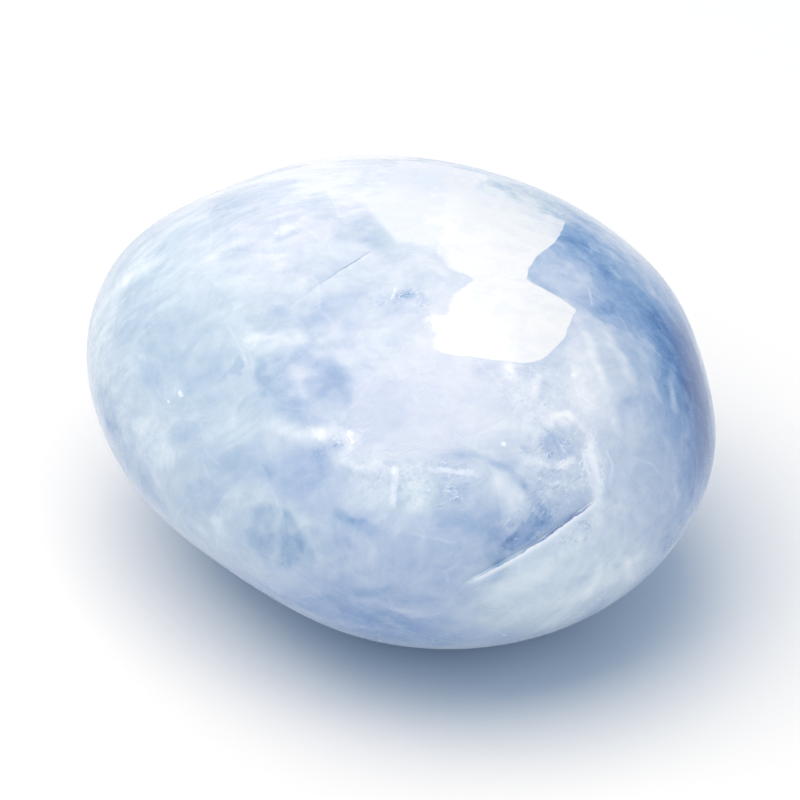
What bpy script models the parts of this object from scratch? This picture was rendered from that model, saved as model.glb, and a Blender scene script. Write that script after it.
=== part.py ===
# Blue calcite palm stone: one lump of blue calcite, tumbled and polished to a plump egg.
# Metres, +Z up. The long axis lies along X with the blunt end at +X. The origin is on the
# surface that the stone rests on, under the middle of its box.

import math

import bmesh
import bpy
from mathutils import Vector

# Overall size of the finished stone
LENGTH = 0.0620
WIDTH = 0.0519
HEIGHT = 0.0366

# How the egg departs from a plain ellipsoid
SIDE_TAPER = 0.060  # the blunt end is wider than the middle by this share
TOP_TAPER = 0.050  # and taller by this share
BOW = 0.0016  # the middle sways this far towards +Y

# Flats worn by tumbling: the way each faces, as azimuth and elevation in degrees, and its depth
WORN_FLATS = [
    (-167, -11, 0.00020),
    (-94, -43, 0.00025),
    (171, 49, 0.00028),
    (52, 14, 0.00005),
    (-62, 72, 0.00015),
]
FLAT_BLEND = 0.0008  # how softly a flat runs into the round

FOOT_DEPTH = 0.0005  # what the flat foot takes off the round underside

# Cleavage cracks that come out at the skin. Each is a fine step: the surface on one side of
# the trace lies a little lower, and rises back to the round over the crack's reach.
CLEAVAGE_STEPS = [
    {
        "middle": (0.0281, -0.0115, 0.0214),
        "trace": (0.27, 0.89, 0.36),
        "outward": (0.86, -0.38, 0.34),
        "length": 0.0150,
        "depth": 0.00045,
        "reach": 0.0030,
    },
    {
        "middle": (-0.0003, -0.0092, 0.0351),
        "trace": (0.17, 0.95, 0.28),
        "outward": (0.03, -0.29, 0.96),
        "length": 0.0100,
        "depth": 0.00030,
        "reach": 0.0022,
    },
    {
        "middle": (-0.0120, 0.0210, 0.0190),
        "trace": (0.80, 0.25, 0.55),
        "outward": (-0.34, 0.93, 0.07),
        "length": 0.0130,
        "depth": 0.00040,
        "reach": 0.0028,
    },
]
STEP_WALL = 0.00015  # width of the steep face of a step
STEP_ROWS = (0.0, STEP_WALL, 0.0009, 0.0020)  # where rows of edges run beside a trace

GRID = 24  # squares along each side of the cube that is blown up to the egg
PLANE_SNAP = 1e-6


def facing(azimuth, elevation):
    around, above = math.radians(azimuth), math.radians(elevation)
    return Vector(
        (math.cos(above) * math.cos(around), math.cos(above) * math.sin(around), math.sin(above))
    )


def even_sphere():
    """A unit sphere of near-equal squares, from a subdivided cube."""
    bm = bmesh.new()
    bmesh.ops.create_cube(bm, size=2)
    bmesh.ops.subdivide_edges(bm, edges=bm.edges[:], cuts=GRID - 1, use_grid_fill=True)
    for vert in bm.verts:
        vert.co = Vector([math.tan(math.pi / 4 * c) for c in vert.co]).normalized()
    return bm


def swell_to_egg(bm):
    """Stretches the sphere to the tapered, slightly bowed egg."""
    for vert in bm.verts:
        x, y, z = vert.co
        vert.co = (
            LENGTH / 2 * x,
            WIDTH / 2 * y * (1 + SIDE_TAPER * x) + BOW * (1 - x * x),
            (HEIGHT + FOOT_DEPTH) / 2 * z * (1 + TOP_TAPER * x),
        )


def wear_flat(bm, azimuth, elevation, depth):
    """Presses everything beyond a plane back to it, with a soft shoulder."""
    out = facing(azimuth, elevation)
    level = max(vert.co.dot(out) for vert in bm.verts) - depth
    for vert in bm.verts:
        beyond = (vert.co.dot(out) - level) / FLAT_BLEND
        vert.co -= out * FLAT_BLEND * math.log1p(math.exp(beyond))


def fit_to_size(bm):
    """Brings the worn egg to its overall size, its lowest point a foot's depth under Z = 0."""
    size = (LENGTH, WIDTH, HEIGHT + FOOT_DEPTH)
    lowest = [min(vert.co[i] for vert in bm.verts) for i in range(3)]
    highest = [max(vert.co[i] for vert in bm.verts) for i in range(3)]
    for vert in bm.verts:
        shares = [(vert.co[i] - lowest[i]) / (highest[i] - lowest[i]) for i in range(3)]
        vert.co = (
            size[0] * (shares[0] - 0.5),
            size[1] * (shares[1] - 0.5),
            size[2] * shares[2] - FOOT_DEPTH,
        )


def ease(share):
    """0 to 1 with a soft start and a soft end."""
    share = min(max(share, 0.0), 1.0)
    return share * share * (3 - 2 * share)


def open_step(bm, step):
    """Cuts rows of edges beside a crack's trace and sinks the surface on its upper side."""
    middle = Vector(step["middle"])
    trace = Vector(step["trace"]).normalized()
    upward = Vector(step["outward"]).cross(trace).normalized()
    outward = trace.cross(upward)
    near = step["length"] / 2 + step["reach"]
    for row in STEP_ROWS:
        faces = [f for f in bm.faces if (f.calc_center_median() - middle).length < near]
        edges = {edge for face in faces for edge in face.edges}
        verts = {vert for face in faces for vert in face.verts}
        bmesh.ops.bisect_plane(
            bm,
            geom=[*verts, *edges, *faces],
            dist=PLANE_SNAP,
            plane_co=middle + upward * row,
            plane_no=upward,
        )
    for vert in bm.verts:
        away = vert.co - middle
        above = away.dot(upward)
        if away.length > near or above < STEP_WALL / 2:
            continue
        fade_along = ease(2 - 4 * abs(away.dot(trace)) / step["length"])
        fade_across = math.exp(-((above / step["reach"]) ** 2))
        vert.co -= outward * step["depth"] * fade_along * fade_across


def cut_foot(bm):
    """Slices the underside off at Z = 0 and closes it with one flat face."""
    cut = bmesh.ops.bisect_plane(
        bm,
        geom=[*bm.verts, *bm.edges, *bm.faces],
        dist=PLANE_SNAP,
        plane_co=(0, 0, 0),
        plane_no=(0, 0, 1),
        clear_inner=True,
    )
    rim = [item for item in cut["geom_cut"] if isinstance(item, bmesh.types.BMEdge)]
    bmesh.ops.edgeloop_fill(bm, edges=rim)


def polished_calcite():
    material = bpy.data.materials.new("polished blue calcite")
    material.use_nodes = True
    shader = material.node_tree.nodes["Principled BSDF"]
    shader.inputs["Base Color"].default_value = (0.50, 0.63, 0.83, 1)
    shader.inputs["Roughness"].default_value = 0.18
    shader.inputs["Metallic"].default_value = 0.0
    shader.inputs["IOR"].default_value = 1.6
    return material


def build_stone():
    bm = even_sphere()
    swell_to_egg(bm)
    for azimuth, elevation, depth in WORN_FLATS:
        wear_flat(bm, azimuth, elevation, depth)
    fit_to_size(bm)
    for step in CLEAVAGE_STEPS:
        open_step(bm, step)
    cut_foot(bm)
    bmesh.ops.triangulate(bm, faces=bm.faces[:])
    bmesh.ops.recalc_face_normals(bm, faces=bm.faces[:])
    mesh = bpy.data.meshes.new("stone")
    bm.to_mesh(mesh)
    bm.free()
    mesh.shade_smooth()
    mesh.set_sharp_from_angle(angle=math.radians(30))
    mesh.materials.append(polished_calcite())
    stone = bpy.data.objects.new("stone", mesh)
    bpy.context.scene.collection.objects.link(stone)
    return stone


for leftover in list(bpy.data.objects):
    bpy.data.objects.remove(leftover)
build_stone()
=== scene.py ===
# Blue calcite palm stone: one tumbled and polished stone, its studio light and its camera.
import math

import bmesh
import bpy
import numpy as np
from mathutils import Matrix, Vector, noise


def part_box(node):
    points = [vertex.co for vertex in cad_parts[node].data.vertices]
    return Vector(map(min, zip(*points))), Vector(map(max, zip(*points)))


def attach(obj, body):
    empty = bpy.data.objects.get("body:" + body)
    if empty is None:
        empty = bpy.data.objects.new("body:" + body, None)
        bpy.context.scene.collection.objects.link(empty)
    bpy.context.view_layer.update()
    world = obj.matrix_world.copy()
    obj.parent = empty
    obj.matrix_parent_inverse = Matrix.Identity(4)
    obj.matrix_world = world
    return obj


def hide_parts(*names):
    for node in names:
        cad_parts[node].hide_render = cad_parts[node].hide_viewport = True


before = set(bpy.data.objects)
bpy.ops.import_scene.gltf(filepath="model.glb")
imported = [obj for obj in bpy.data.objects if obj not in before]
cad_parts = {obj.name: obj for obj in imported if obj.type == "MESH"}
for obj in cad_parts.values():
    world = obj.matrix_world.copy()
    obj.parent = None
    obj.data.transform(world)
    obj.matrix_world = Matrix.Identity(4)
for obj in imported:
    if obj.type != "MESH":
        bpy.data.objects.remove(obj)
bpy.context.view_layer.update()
stoneLow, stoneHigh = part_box("stone")
print("frame loaded")


# Colours and nodes

def linearColour(hexCode):
    channels = [int(hexCode[i:i + 2], 16) / 255 for i in (1, 3, 5)]
    return (*[c / 12.92 if c <= 0.04045 else ((c + 0.055) / 1.055) ** 2.4 for c in channels], 1)


def addNode(tree, kind, settings, links, out=0):
    # settings are the node's own options, links are its inputs by name or number: sockets or values
    node = tree.nodes.new("ShaderNode" + kind)
    for name, value in settings.items():
        if name == "stops":
            while len(node.color_ramp.elements) < len(value):
                node.color_ramp.elements.new(0.5)
            for element, (position, colour, *cover) in zip(node.color_ramp.elements, value):
                element.position = position
                element.color = (*linearColour(colour)[:3], cover[0] if cover else 1)
        else:
            setattr(node, name, value)
    for name, value in links.items():
        if isinstance(value, bpy.types.NodeSocket):
            tree.links.new(value, node.inputs[name])
        else:
            node.inputs[name].default_value = value
    return node.outputs[out]


# settings that many nodes share
multiply, multiplyAdd = {"operation": "MULTIPLY"}, {"operation": "MULTIPLY_ADD"}
smooth, colours = {"interpolation_type": "SMOOTHSTEP"}, {"data_type": "RGBA"}


# The camera stands where the photo was taken from, far off, so that the view is nearly parallel

photoView = {
    "azimuth": 45,
    "elevation": 35,
    "distance": 1.2,
    "frameWidth": 0.0725,  # of the stone's plane that the picture shows
    "sensorWidth": 36,  # millimetres
    "clip": (0.1, 20),
}


def viewAxes(azimuth, elevation):
    around, above = math.radians(azimuth), math.radians(elevation)
    right = Vector((math.cos(around), math.sin(around), 0))
    back = Vector((math.sin(around) * math.cos(above), -math.cos(around) * math.cos(above), math.sin(above)))
    return right, back.cross(right), back


# The stone's shape: a tapered egg with worn flats, as the solid has it, in much finer squares

stoneShape = {
    "squaresPerSide": 120,
    "sideTaper": 0.060,
    "topTaper": 0.050,
    "bow": 0.0016,
    "footDepth": 0.0005,
    "flatBlend": 0.0008,
    "wornFlats": [  # azimuth, elevation, depth
        (-167, -11, 0.00020),
        (-94, -43, 0.00025),
        (171, 49, 0.00028),
        (52, 14, 0.00005),
        (-62, 72, 0.00015),
    ],
    "cracks": [  # pale and dark: how strongly its two lines are drawn, the painted highlight on the lip and the painted shadow in the groove
        {"middle": (0.0281, -0.0115, 0.0214), "trace": (0.27, 0.89, 0.36), "outward": (0.86, -0.38, 0.34),
         "length": 0.0150, "depth": 0.00045, "reach": 0.0030, "pale": 1.0, "dark": 1.0},
        {"middle": (-0.0003, -0.0092, 0.0351), "trace": (0.17, 0.95, 0.28), "outward": (0.03, -0.29, 0.96),
         "length": 0.0100, "depth": 0.00030, "reach": 0.0022, "pale": 0.1, "dark": 0.9},
        {"middle": (-0.0120, 0.0210, 0.0190), "trace": (0.80, 0.25, 0.55), "outward": (-0.34, 0.93, 0.07),
         "length": 0.0130, "depth": 0.00040, "reach": 0.0028, "pale": 0.6, "dark": 0.8},
    ],
    "crackWall": 0.00012,
    "crackRows": (0.0, 0.00006, 0.00012, 0.00030, 0.0006),
    "sharpAngle": 35,
}


def swellToEgg(bm, size):
    shape = stoneShape
    for vert in bm.verts:
        x, y, z = [math.tan(math.pi / 4 * c) for c in vert.co]
        x, y, z = Vector((x, y, z)).normalized()
        vert.co = (
            size.x / 2 * x,
            size.y / 2 * y * (1 + shape["sideTaper"] * x) + shape["bow"] * (1 - x * x),
            size.z / 2 * z * (1 + shape["topTaper"] * x),
        )


def wearFlats(bm):
    blend = stoneShape["flatBlend"]
    for azimuth, elevation, depth in stoneShape["wornFlats"]:
        out = viewAxes(azimuth + 90, elevation)[2]
        level = max(vert.co.dot(out) for vert in bm.verts) - depth
        for vert in bm.verts:
            vert.co -= out * blend * math.log1p(math.exp((vert.co.dot(out) - level) / blend))


def fitToFrame(bm, size):
    lowest = [min(vert.co[i] for vert in bm.verts) for i in range(3)]
    highest = [max(vert.co[i] for vert in bm.verts) for i in range(3)]
    start = Vector((stoneLow.x, stoneLow.y, stoneLow.z - stoneShape["footDepth"]))
    for vert in bm.verts:
        share = Vector([(vert.co[i] - lowest[i]) / (highest[i] - lowest[i]) for i in range(3)])
        vert.co = start + size * share
        vert.co.z = max(vert.co.z, stoneLow.z)


def soft(low, high, value):
    # a gentle rise from 0 to 1, for a number or an array
    share = np.clip((value - low) / (high - low), 0, 1)
    return share * share * (3 - 2 * share)


def crackAxes(crack):
    trace = Vector(crack["trace"]).normalized()
    upward = Vector(crack["outward"]).cross(trace).normalized()
    return Vector(crack["middle"]), trace, upward, trace.cross(upward)


def openCrack(bm, crack):
    # rows of edges beside the trace, then the upper side sinks to a step
    middle, trace, upward, outward = crackAxes(crack)
    near = crack["length"] / 2 + crack["reach"]
    for row in stoneShape["crackRows"]:
        faces = [f for f in bm.faces if (f.calc_center_median() - middle).length < near]
        edges = {edge for face in faces for edge in face.edges}
        verts = {vert for face in faces for vert in face.verts}
        bmesh.ops.bisect_plane(bm, geom=[*verts, *edges, *faces], dist=1e-6,
                               plane_co=middle + upward * row, plane_no=upward)
    for vert in bm.verts:
        away = vert.co - middle
        over = away.dot(upward)
        if away.length > near or over < stoneShape["crackWall"] / 4:
            continue
        drop = soft(0, stoneShape["crackWall"], over) * math.exp(-((over / crack["reach"]) ** 2))
        ends = soft(0.5, 0.25, abs(away.dot(trace)) / crack["length"])
        vert.co -= outward * float(crack["depth"] * drop * ends)


def shapeStone():
    size = stoneHigh - stoneLow + Vector((0, 0, stoneShape["footDepth"]))
    bm = bmesh.new()
    bmesh.ops.create_cube(bm, size=2)
    cuts = stoneShape["squaresPerSide"] - 1
    bmesh.ops.subdivide_edges(bm, edges=bm.edges[:], cuts=cuts, use_grid_fill=True)
    swellToEgg(bm, size)
    wearFlats(bm)
    fitToFrame(bm, size)
    for crack in stoneShape["cracks"]:
        openCrack(bm, crack)
    bmesh.ops.recalc_face_normals(bm, faces=bm.faces[:])
    mesh = bpy.data.meshes.new("polishedStone")
    bm.to_mesh(mesh)
    bm.free()
    mesh.shade_smooth()
    mesh.set_sharp_from_angle(angle=math.radians(stoneShape["sharpAngle"]))
    stone = bpy.data.objects.new("polishedStone", mesh)
    bpy.context.scene.collection.objects.link(stone)
    return stone


# Markings as the photo shows them, drawn flat in millimetres right and up from the middle of the
# outline. Tone is the depth of the blue: 0 is middling, below 0 is milky, 1 is deep; in places it also holds
# painted shade.

frontDrawing = {
    "azimuth": photoView["azimuth"],
    "elevation": photoView["elevation"],
    "faces": (0.04, 0.32),  # it fades in as the skin turns this far towards the view
    "middleTone": 0.12,
    "shadeSlope": (0.008, -0.011),  # change of tone a millimetre, right and up: painted shade, darker towards the bottom and the right
    # soft clouds: right, up, half length, half width, tilt in degrees, tone
    "clouds": [
        (-12, 16, 11, 4, 25, -0.2),
        (-2, 20, 14, 2.6, -5, -0.42),
        (-9.5, 13.5, 3, 1.4, 10, -0.25),
        (-5, 5, 6, 5, 5, 0.08),
        (-14.5, 5, 12, 8, 15, 0.06),
        (-20, -7, 5, 2, -45, -0.12),
        (-5.6, 12.8, 2.6, 1.2, 10, -0.2),
        (23, 11.2, 7.5, 2.4, -52, -0.65),
        (16, 2, 1.8, 4, 0, -0.3),
        # painted shade near the right edge
        (24.6, 4.4, 3.6, 1.5, -62, 0.35),
        (-5, -9, 16, 7, -5, -0.12),
        (-0.5, -6, 4, 1.6, 0, -0.15),
        (-4.5, 0.5, 5, 5, 0, 0.2),
        (5, 0, 5, 5, 0, 0.16),
        (0.5, 12, 5, 3, 0, -0.18),
        (0, 8.6, 3.4, 1.8, 0, 0.22),
        (-7.5, 5, 3, 2.4, 0, 0.2),
        (2, 2.5, 9, 4.5, -8, -0.15),
        (7, 1, 5, 4, 0, -0.12),
        (16, -0.5, 5, 5, 0, -0.28),
        # painted shade along the lower left rim
        (-21.5, -11, 8, 1.4, -50, 0.2),
        (13, -6, 9, 6, 0, -0.3),
        (5, -9.5, 4, 4.5, 0, -0.25),
        (17, -8, 2.4, 3.4, 0, -0.3),
        (12.2, -14, 7, 1.7, 32, -0.55),
        (-1.5, -0.8, 4, 2.6, 0, 0.22),
        # the next two: painted shade along the lower rim
        (-11.5, -18.4, 10, 1.3, -31, 0.62),
        (-4, -21.6, 5, 1.2, -12, 0.4),
        (17, -18, 7.5, 1.8, 38, -0.45),
        (-13, -2.4, 7, 1.6, -6, -0.12),
        # the next three: painted shade along the left and lower left rim
        (-24.4, -6.2, 5, 1.5, -58, 0.5),
        (-26.6, -0.8, 2.2, 0.9, -75, 0.4),
        (-25.9, -2.8, 0.9, 0.7, 0, 0.35),
        (-12, -14, 9, 3, -35, 0.1),
        # painted shade along the lower rim
        (-4, -19.6, 9, 1.8, -8, 0.5),
        (3.6, -19.8, 3.4, 1.4, 0, -0.15),
        # the next two: the blue of the right flank, partly the stone's own and partly painted shade
        (28.5, 4.5, 9, 4.6, -62, 0.55),
        (29.8, -1.5, 9, 4.6, -85, 0.8),
        (21, 9.5, 7, 2.6, -50, 0.15),
        (22, -8, 6, 3.6, 72, -0.35),
        (14, -16.6, 7.5, 3.2, 25, -0.7),
        (19.5, -12.5, 5, 2.6, 55, -0.18),
    ],
    # small patches with a firmer edge, listed alike
    "patches": [
        # the blue of the right flank, partly the stone's own and partly painted shade
        (29, 1.5, 9, 3, -78, 0.4),
        (-5.7, 2.1, 1.7, 1.4, -30, 0.36),
        (-6.3, 1.6, 2.4, 1.8, -25, 0.2),
        (-7, -2.7, 3.2, 0.9, -6, -0.3),
        (-7.4, 1.2, 1.2, 0.8, -20, 0.25),
        (-5.2, 0.3, 0.9, 0.6, 0, 0.3),
        (-8.5, 3.6, 1.4, 0.9, -20, 0.38),
        (-11.5, 1.4, 1.2, 1, 0, -0.08),
        (-14, -6.6, 2.2, 1.4, -10, 0.18),
        (-17.9, -8.8, 2, 1.6, 0, 0.2),
        (-5.1, -10.7, 1.1, 0.55, -32, 0.35),
        (-3.2, -11.4, 1.3, 0.65, -12, 0.35),
        (-5.6, -12.9, 1.4, 0.5, -10, 0.2),
        (0.1, 9.2, 0.9, 0.6, 0, 0.45),
        (-0.2, 8.4, 1.6, 0.6, 15, 0.15),
        (14.2, -3.8, 1.6, 1.3, -30, 0.6),
        (-11.6, 7.2, 2, 0.9, 15, 0.22),
        (-10.7, 8.2, 1.2, 0.4, -5, 0.2),
        (-14.9, 13.1, 1.7, 0.6, 25, 0.3),
        (-5.8, 8.5, 3, 0.8, 20, 0.12),
        (8.2, 2.7, 1.5, 0.6, 0, 0.25),
        (14.3, 11.2, 2.4, 0.8, -34, -0.22),
        (15.9, 14.2, 2, 0.9, -38, 0.15),
        (18.4, 8.7, 0.8, 0.6, 0, 0.3),
        (-23, -2.5, 1.4, 0.8, 0, -0.25),
        (-21.2, -4.8, 0.8, 1.5, -8, -0.25),
        (-13.6, -9.6, 2.2, 1, 0, 0.14),
        (-16.4, -12, 1.8, 1.2, -40, -0.2),
        (-3, -8.4, 2.6, 1.4, 10, -0.25),
        (1.6, -8.8, 1.4, 2, 0, -0.2),
        (13.6, -7.9, 1.8, 1, 20, -0.35),
        (11.6, -5.1, 1.5, 0.5, -25, -0.4),
        (20.6, -0.2, 0.8, 0.6, 0, 0.35),
        (23.9, -12.9, 0.8, 1, -30, 0.3),
        (-25.2, 11.5, 0.7, 0.9, 0, 0.2),
    ],
    # crystals whose edges fade: outline, softness of the edge, tone
    "crystals": [
        ([(-22.8, 1.2), (-23.2, 4.2), (-22.2, 7.2), (-20.3, 8.1), (-16.8, 7.9), (-15.5, 6.6), (-14.6, 4.6),
          (-15.9, 2), (-19, 1)], 1.2, 0.16),
        ([(-13.3, 3.6), (-11.6, 4.3), (-9.8, 3.4), (-9.7, 1.8), (-8.2, 0.2), (-8.4, -1), (-10.2, -0.9),
          (-12.2, 0.6), (-13.2, 1.9)], 1.2, 0.36),
        ([(-11.5, -5.2), (-9.6, -4.2), (-7.4, -4.2), (-6.2, -6), (-6.5, -8), (-8.2, -8.9), (-10.5, -8.2),
          (-12.2, -6.9)], 2.2, 0.3),
        ([(-14, -13.5), (-13.6, -11.6), (-12.8, -10.4), (-11.7, -9.8), (-10.9, -10.2), (-10.9, -13),
          (-11.6, -15)], 0.8, 0.4),
        ([(-10.7, -10.2), (-10, -10.1), (-9.1, -11.2), (-8.6, -13), (-9.4, -15.4), (-10.8, -14.8)],
         0.8, 0.42),
        ([(-5.3, 15.6), (-4.6, 16.6), (-2.9, 16.7), (-1.6, 15.4), (-0.5, 14.2), (-1.3, 13.8), (-3.3, 14),
          (-5.2, 14.4)], 1.3, 0.32),
        ([(2.6, -8.2), (4.2, -6.9), (7, -7), (8.2, -8.6), (9.6, -10.6), (8.6, -12.2), (5.2, -12.5),
          (3, -11.6)], 1.3, 0.3),
        ([(7, -12.4), (8.8, -11.4), (10.8, -10.8), (12.6, -9.4), (14, -11), (11.4, -13.2),
          (8, -15.2)], 0.9, 0.28),
        ([(6.6, -15.2), (8.8, -13.6), (10.2, -12.9), (10.6, -13.4), (8.2, -15.6), (7.2, -16)], 0.6, 0.25),
        ([(-3.5, -19.2), (-1, -18.2), (2.2, -19.4), (6.5, -20.6), (5, -21.8), (0, -22),
          (-3, -21)], 0.8, 0.15),
    ],
    # crystals cut clean at the skin: outline, tone
    "facets": [
        ([(-15.9, 2.2), (-14.5, 3.9), (-13.8, 3), (-14.2, 2)], 0.35),
        # the next one reaches the right edge, where its blue is partly painted shade
        ([(12.2, 13), (14.9, 16), (22, 17), (34, 4), (28, -2), (22.5, 5), (16.2, 8),
          (12, 10.6), (11.4, 11.6)], 0.28),
        ([(9, -12.8), (10.4, -11.2), (11.8, -9.8), (12.9, -11), (11.8, -12.2), (10.2, -13.4)], 0.5),
        ([(-3.2, -11.9), (-1, -11.4), (2.4, -12.4), (5.6, -13), (3.4, -15.6), (-1.4, -15.2)], 0.1),
        ([(-17.5, -5), (-12.5, -3.6), (-10.6, -6.4), (-13.4, -8.8), (-16.8, -8.2)], 0.08),
        ([(-9.6, 6.6), (-6.4, 9.2), (-2.6, 8.6), (-3.6, 6.2), (-6.6, 5.6)], 0.08),
        ([(14.8, 5), (18.2, 7), (20.8, 2.6), (18.6, -1.8), (15.8, -0.6)], -0.12),
    ],
    # brush-like streaks: points, half width, tone
    "streaks": [
        ([(-26.5, 10.5), (-23.5, 14.8), (-19, 17.6), (-14.5, 19.4)], 0.7, 0.3),
        ([(-25.3, 10.2), (-24, 11.6), (-22.4, 12.8)], 0.9, -0.4),
        ([(-12.1, 14.7), (-10.2, 15.3), (-8, 16.2)], 0.5, -0.38),
        ([(-11.6, 16.5), (-8.6, 17.3)], 0.35, -0.2),
        ([(-10.5, 19.2), (-8, 19.4), (-5.4, 18.8)], 0.5, -0.35),
        ([(-11.3, 14.2), (-9, 14.9)], 0.3, 0.4),
        ([(-6.9, 10), (-4.8, 10.9)], 0.5, -0.4),
        ([(-15, 5), (-12, 5.6), (-9.8, 5.7), (-6, 6)], 0.8, -0.42),
        ([(6.9, -6.3), (9.3, -8.2), (11.2, -10.3)], 1.3, -0.28),
        ([(4, -5.4), (6.8, -5.2), (9.4, -5.9), (11, -7.6)], 0.35, 0.28),
        ([(10.2, -6.8), (11.8, -8.8), (13.2, -11)], 0.4, 0.5),
        ([(16.9, -3.8), (17.3, -6.4), (17.4, -9.6)], 0.7, -0.4),
        ([(8.7, -12.6), (10, -12.3), (11.2, -11.9)], 0.25, 0.4),
        ([(13.2, 12.6), (15.4, 11.6), (17.6, 10)], 0.7, -0.3),
        ([(13.8, 14.6), (16.6, 14.2), (18.8, 11.8), (20.2, 9.4)], 0.9, 0.05),
        ([(-13.4, -9.9), (-12, -9.3), (-10.6, -9.6)], 0.4, -0.15),
        ([(-9.5, -10.1), (-7.9, -12), (-6.8, -14.6)], 0.4, -0.2),
        ([(-8.9, -10.2), (-6.2, -12)], 0.35, -0.2),
        ([(-10.8, -9.8), (-10.9, -12.6)], 0.3, -0.2),
        ([(-4.3, -2.9), (-7.5, -2.4), (-11.5, -1.8)], 0.6, -0.35),
        ([(-4.2, -3.2), (-5.4, -5)], 0.6, -0.4),
        ([(-0.6, -6.2), (-3, -5.8), (-6, -5.2)], 0.55, -0.4),
        ([(15.6, 7.6), (17.4, 4.2), (18.6, 0.6), (19.3, -2.8)], 0.45, -0.3),
        ([(18, 7), (20, 3.5), (21.5, 0)], 0.5, -0.3),
        ([(20.3, 6.5), (22, 3.3), (23.6, -0.8)], 0.3, -0.4),
        ([(24.4, 3.2), (24.8, 0), (24.6, -1.4)], 0.3, -0.6),
        ([(22.4, 7.4), (24.4, 3.6), (25.6, -1), (25.4, -4.6)], 0.25, -0.3),
        ([(25.2, 5.2), (26.2, 1.2), (26.3, -3.6)], 0.35, -0.35),
        ([(23.8, -3.2), (24.6, -6.4), (24.2, -9.4)], 0.25, -0.3),
        ([(9.9, 3.6), (10.1, 2)], 0.5, -0.5),
        ([(12.1, 3.2), (11.9, 0.5)], 0.3, -0.3),
        ([(12.7, 2.2), (12.5, -0.2)], 0.2, 0.3),
        ([(13, -1.8), (14.6, -1.4), (16, -2.6)], 0.3, -0.4),
        ([(12.2, -5.4), (13.8, -5.9), (15.4, -5.2)], 0.3, -0.4),
        ([(-1.5, -17.8), (0.6, -18.6), (2.6, -19.4)], 0.3, -0.35),
        ([(-1.9, -19.2), (0.8, -20.2)], 0.25, -0.3),
        ([(17.6, -14), (17.2, -16), (16.2, -17.8)], 0.4, -0.25),
        ([(20.1, -13.8), (20.4, -16.4)], 0.3, -0.4),
        ([(8.2, 19.7), (10.4, 19), (12.6, 18)], 0.35, 0.55),
        ([(-3.6, 3.2), (-2.2, 3)], 0.25, 0.35),
        ([(-20.5, -11.2), (-14, -16.4), (-7, -19.6), (0, -21)], 0.4, -0.3),
        ([(-6.5, -16.6), (-1, -17), (4, -18.4)], 0.5, 0.25),
    ],
    # white seams of healed crack: points, width, strength
    "seams": [
        ([(-14.2, 5.2), (-12, 5.6), (-9.8, 5.7)], 0.2, 0.35),
        ([(-15.6, 6.9), (-14.3, 4.6), (-13.7, 2.6)], 0.11, 0.22),
        ([(-6.4, -2.2), (-5.2, -2.5), (-4.2, -3)], 0.34, 0.4),
        ([(-4.6, -3.9), (-3, -5.2), (-0.6, -6.1)], 0.18, 0.2),
        ([(-1, -6), (-0.4, -6.2), (-0.6, -7.2), (-0.7, -10)], 0.28, 0.6),
        ([(2.2, -6.1), (5, -6.4), (7.2, -6.6)], 0.2, 0.6),
        ([(0.8, -11.8), (2.5, -12.3), (5.2, -12.8)], 0.12, 0.2),
        ([(16.8, -3.6), (17, -5), (17.4, -6.5), (17.6, -8.5), (17.3, -9.8)], 0.28, 0.85),
        ([(16.3, -4.4), (16.5, -5.8), (17.1, -7.4)], 0.14, 0.6),
        ([(18.2, -4.3), (18.9, -5.8), (18.5, -7.6)], 0.12, 0.4),
        ([(-17.5, -4.1), (-16.8, -5.2), (-15.9, -5.8)], 0.1, 0.16),
        ([(-17.6, -5.6), (-17, -7), (-16.2, -7.8)], 0.1, 0.14),
        ([(13.1, -7.5), (14.4, -7.1)], 0.14, 0.6),
        ([(-0.5, 10.2), (-0.9, 8.9)], 0.1, 0.5),
        ([(16.8, 10.2), (17.3, 8.6)], 0.1, 0.35),
        ([(20.8, -5.2), (22.4, -5.8), (23, -6.6)], 0.1, 0.25),
    ],
    # small white flecks and painted glints of light: right, up, radius
    "flecks": [
        (-19.7, 0.5, 0.34), (-20.8, -0.2, 0.2), (9.2, -3.8, 0.3), (15.4, 2.3, 0.32), (1.5, 9.3, 0.26),
        (-0.6, -6.2, 0.48), (2.5, -7.8, 0.26), (-4.5, -2.8, 0.42), (-4.2, -3.6, 0.26), (-11.2, 15, 0.2),
    ],
    # where the skin is busy with small marks, as clouds
    "busy": [
        (1.5, -7, 5, 2.4, -10, 1.2), (14.5, -6, 3.6, 4, 0, 1.2), (12, 1, 2.4, 3, 0, 0.8),
        (-5.5, -3.4, 3, 1.8, 0, 0.8), (11, -11, 3, 2, 30, 0.8), (0, 9, 3, 1.4, 0, 0.8),
        (3, 2.5, 6, 3, 0, 0.3), (15.5, -11.5, 2.5, 1.6, 30, 1),
    ],
    # cleavage faces just under the skin that flash white, and the lamp's reflection on the polish: a painted
    # reflection
    "flash": [
        (4, 20.4), (7.6, 19.4), (10.4, 18.3), (12.8, 17), (15, 16.3), (14.5, 14.8), (13.4, 13.7),
        (12.2, 12.8), (11.5, 11.8), (11.3, 11), (12.2, 10.4), (13.2, 9.9), (14.8, 8.9), (15.9, 7.9),
        (15.2, 6.8), (14.7, 5.6), (13.9, 4.7), (12.6, 3.6), (10.6, 3.4), (8.6, 3.6), (6.2, 3.9), (4.2, 4),
        (3, 4.6), (2.8, 6.2), (2.7, 7.8), (4.2, 8), (4.9, 9.4), (6.6, 10.8), (5.2, 11.5), (4.2, 12.4),
        (3.8, 13.6), (3, 14.6), (2.8, 17.1), (3.9, 17.6),
    ],
    # where the edge of the flash fades, as clouds of softness in millimetres
    "flashFades": [
        (3, 17, 3, 3.5, 0, 2.4), (9, 20, 7, 1.8, -20, 2.6), (2.6, 6.5, 2.2, 2.4, 0, 1.5),
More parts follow.
